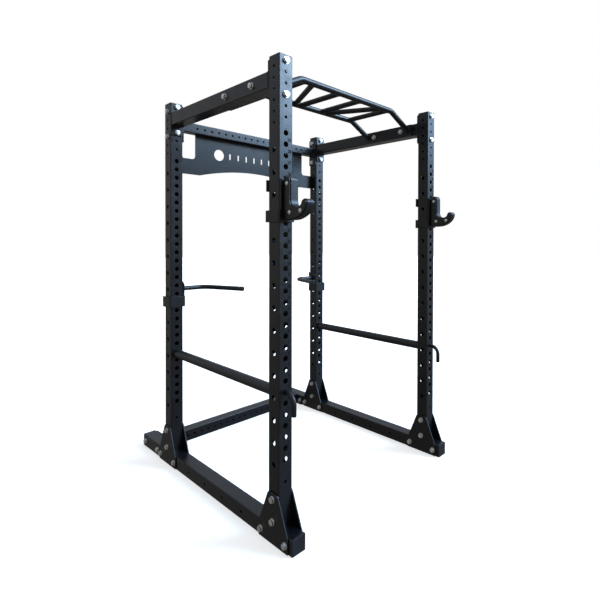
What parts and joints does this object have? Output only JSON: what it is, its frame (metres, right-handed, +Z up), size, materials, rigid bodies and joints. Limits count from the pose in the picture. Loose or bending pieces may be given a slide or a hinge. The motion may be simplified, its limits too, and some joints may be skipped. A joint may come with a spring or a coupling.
{
  "type": "power cage",
  "caption": "Free-standing strength-training cage of perforated square uprights, with bar hooks, pin-and-pipe safeties, splayed dip handles and a multi-grip pull-up bar.",
  "frame": {"origin": "on the floor, below the middle of the overall box", "axes": "+Z up, front (hook side) at -Y, +X to the user's right when facing +Y"},
  "size_m": [1.285, 1.6, 2.1812],
  "materials": {
    "black_powder_coat": "satin black powder coat",
    "dark_powder_coat": "satin black powder coat on plate and bar",
    "black_plastic": "fine-textured black plastic",
    "zinc_steel": "bright zinc plating"
  },
  "bodies": {
    "frame": {"upright_front_left": "black_powder_coat", "cap_front_left": "black_plastic", "gusset_front_left_outer": "dark_powder_coat", "gusset_front_left_inner": "dark_powder_coat", "bolt_front_left_1": "zinc_steel", "bolt_front_left_2": "zinc_steel", "bolt_front_left_3": "zinc_steel", "bolt_front_left_4": "zinc_steel", "upright_rear_left": "black_powder_coat", "cap_rear_left": "black_plastic", "gusset_rear_left_outer": "dark_powder_coat", "gusset_rear_left_inner": "dark_powder_coat", "bolt_rear_left_1": "zinc_steel", "bolt_rear_left_2": "zinc_steel", "bolt_rear_left_3": "zinc_steel", "bolt_rear_left_4": "zinc_steel", "floor_beam_left": "black_powder_coat", "floor_cap_front_left": "black_plastic", "floor_cap_rear_left": "black_plastic", "top_beam_left": "black_powder_coat", "upright_front_right": "black_powder_coat", "cap_front_right": "black_plastic", "gusset_front_right_outer": "dark_powder_coat", "gusset_front_right_inner": "dark_powder_coat", "bolt_front_right_1": "zinc_steel", "bolt_front_right_2": "zinc_steel", "bolt_front_right_3": "zinc_steel", "bolt_front_right_4": "zinc_steel", "upright_rear_right": "black_powder_coat", "cap_rear_right": "black_plastic", "gusset_rear_right_outer": "dark_powder_coat", "gusset_rear_right_inner": "dark_powder_coat", "bolt_rear_right_1": "zinc_steel", "bolt_rear_right_2": "zinc_steel", "bolt_rear_right_3": "zinc_steel", "bolt_rear_right_4": "zinc_steel", "floor_beam_right": "black_powder_coat", "floor_cap_front_right": "black_plastic", "floor_cap_rear_right": "black_plastic", "top_beam_right": "black_powder_coat", "rear_top_member": "black_powder_coat", "rear_floor_member": "black_powder_coat", "sign_plate": "black_powder_coat", "pull_up_bar": "black_powder_coat"},
    "hook_left": {"hook_sleeve_left": "dark_powder_coat", "hook_core_left": "black_plastic", "hook_cheek_left_a": "dark_powder_coat", "hook_cheek_left_b": "dark_powder_coat"},
    "safety_pin_left": {"safety_pin_left": "dark_powder_coat"},
    "safety_pipe_left": {"safety_pipe_left": "black_powder_coat"},
    "dip_left": {"dip_handle_left": "dark_powder_coat", "dip_cap_left": "black_plastic"},
    "hook_right": {"hook_sleeve_right": "dark_powder_coat", "hook_core_right": "black_plastic", "hook_cheek_right_a": "dark_powder_coat", "hook_cheek_right_b": "dark_powder_coat"},
    "safety_pin_right": {"safety_pin_right": "dark_powder_coat"},
    "safety_pipe_right": {"safety_pipe_right": "black_powder_coat"},
    "dip_right": {"dip_handle_right": "dark_powder_coat", "dip_cap_right": "black_plastic"}
  },
  "joints": [
    {"name": "hook_left_swing", "type": "hinge", "parent": "frame", "child": "hook_left", "pos_m": [-0.5875, -0.598, 1.53], "axis": [0, 1, 0], "range_deg": [0, 90]},
    {"name": "safety_pin_left_pull", "type": "slide", "parent": "frame", "child": "safety_pin_left", "axis": [0, -1, 0], "range_m": [0, 1.15]},
    {"name": "safety_pipe_left_roll", "type": "hinge", "parent": "frame", "child": "safety_pipe_left", "pos_m": [-0.5875, -0.078, 0.66922], "axis": [0, 1, 0], "continuous": true},
    {"name": "dip_left_swing", "type": "hinge", "parent": "frame", "child": "dip_left", "pos_m": [-0.55, 0.442, 1.055], "axis": [-1, 0, 0], "range_deg": [0, 90]},
    {"name": "hook_right_swing", "type": "hinge", "parent": "frame", "child": "hook_right", "pos_m": [0.5875, -0.598, 1.53], "axis": [0, 1, 0], "range_deg": [0, 90]},
    {"name": "safety_pin_right_pull", "type": "slide", "parent": "frame", "child": "safety_pin_right", "axis": [0, -1, 0], "range_m": [0, 1.15]},
    {"name": "safety_pipe_right_roll", "type": "hinge", "parent": "frame", "child": "safety_pipe_right", "pos_m": [0.5875, -0.078, 0.66922], "axis": [0, 1, 0], "continuous": true},
    {"name": "dip_right_swing", "type": "hinge", "parent": "frame", "child": "dip_right", "pos_m": [0.55, 0.442, 1.055], "axis": [-1, 0, 0], "range_deg": [0, 90]}
  ]
}
